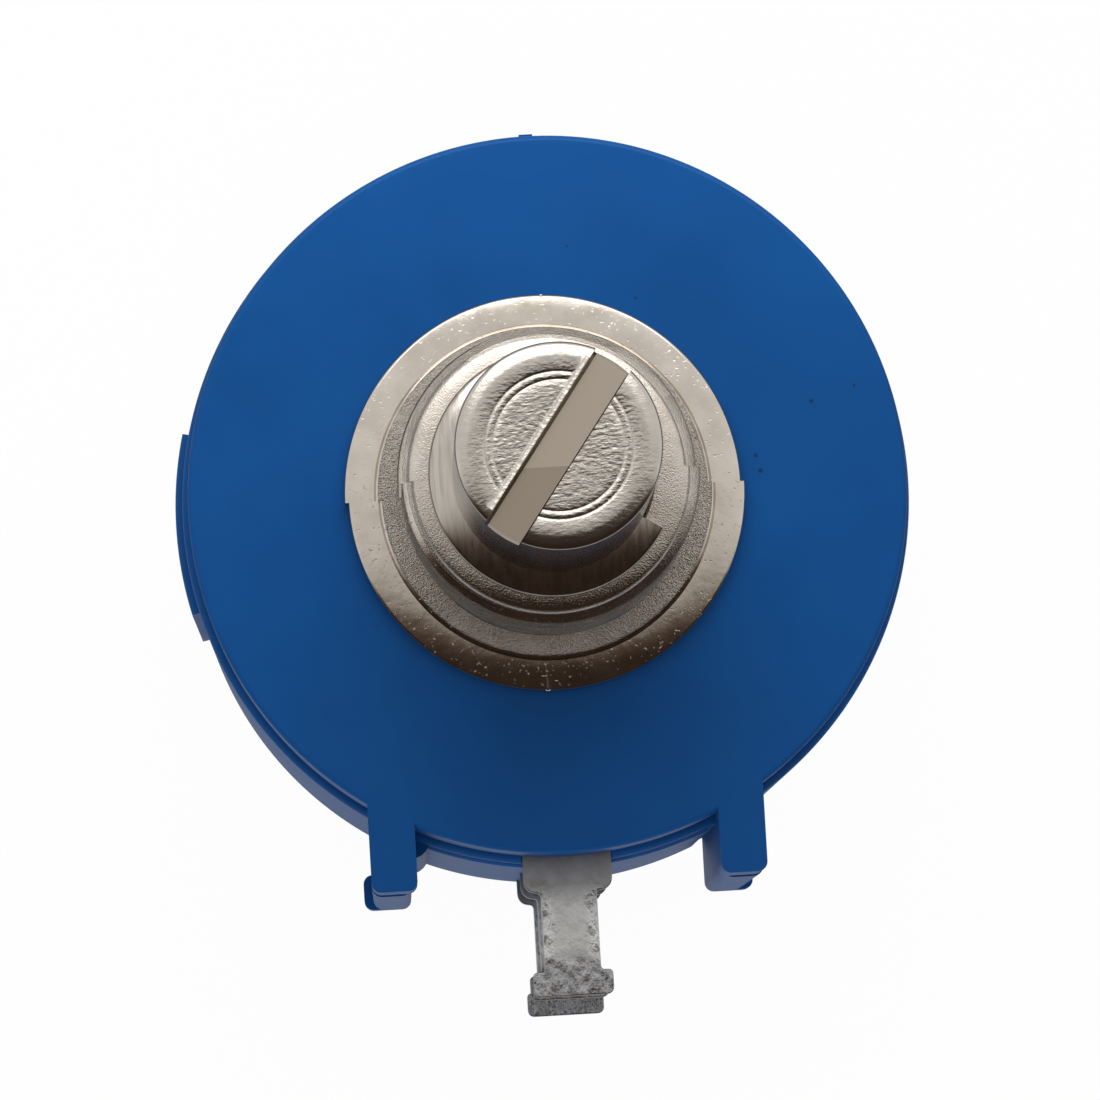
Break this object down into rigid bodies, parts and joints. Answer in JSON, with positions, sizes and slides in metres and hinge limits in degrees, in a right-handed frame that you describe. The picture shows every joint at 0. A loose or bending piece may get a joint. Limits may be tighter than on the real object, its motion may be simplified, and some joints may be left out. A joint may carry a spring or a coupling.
{
  "type": "wirewound multi-turn potentiometer",
  "caption": "Round panel-mounted wirewound multi-turn potentiometer with a blue moulded body, threaded metal bushing, slotted shaft and solder lugs in a row.",
  "frame": {"origin": "on the shaft axis, at the flange face that seats on the panel", "axes": "+Z along the shaft out of the panel, -Y towards the solder lugs"},
  "size_m": [0.023, 0.0272, 0.0405],
  "materials": {
    "blue_plastic": "moulded, satin with a faint flow grain",
    "nickel_casting": "nickel-plated die casting with a grainy skin",
    "shaft_steel": "turned and nickel plated",
    "clip_steel": "stamped and plated",
    "tinned_metal": "tinned, slightly crinkled",
    "contact_bronze": "bright",
    "resistance_wire": "closely wound fine wire",
    "black_plastic": "moulded",
    "pale_plastic": "moulded",
    "washer_plastic": "sheet"
  },
  "bodies": {
    "case": {"front_cap": "blue_plastic", "housing": "blue_plastic", "bushing": "nickel_casting", "resistance_helix": "resistance_wire", "start_tap": "tinned_metal", "end_tap": "tinned_metal", "terminal_front": "tinned_metal", "terminal_middle": "tinned_metal", "terminal_wiper": "tinned_metal", "rear_brush": "contact_bronze", "rear_cover": "blue_plastic"},
    "spindle": {"shaft": "shaft_steel", "shaft_clip": "clip_steel", "thrust_washer": "washer_plastic", "rotor": "black_plastic", "collector_rail": "contact_bronze", "slip_ring": "contact_bronze"},
    "slider": {"wiper_carriage": "pale_plastic", "wiper_contact": "contact_bronze", "wiper_spring": "contact_bronze", "rail_contact": "contact_bronze"}
  },
  "joints": [
    {"name": "shaft_turn", "type": "hinge", "parent": "case", "child": "spindle", "pos_m": [0, 0, 0], "axis": [0, 0, 1], "range_deg": [-1854, 1756]},
    {"name": "carriage_travel", "type": "slide", "parent": "spindle", "child": "slider", "axis": [0, 0, 1], "range_m": [-0.0067, 0.00634]}
  ],
  "couplings": [
    {"joint": "carriage_travel", "follows": "shaft_turn", "m_per_rad": 0.0002069}
  ]
}
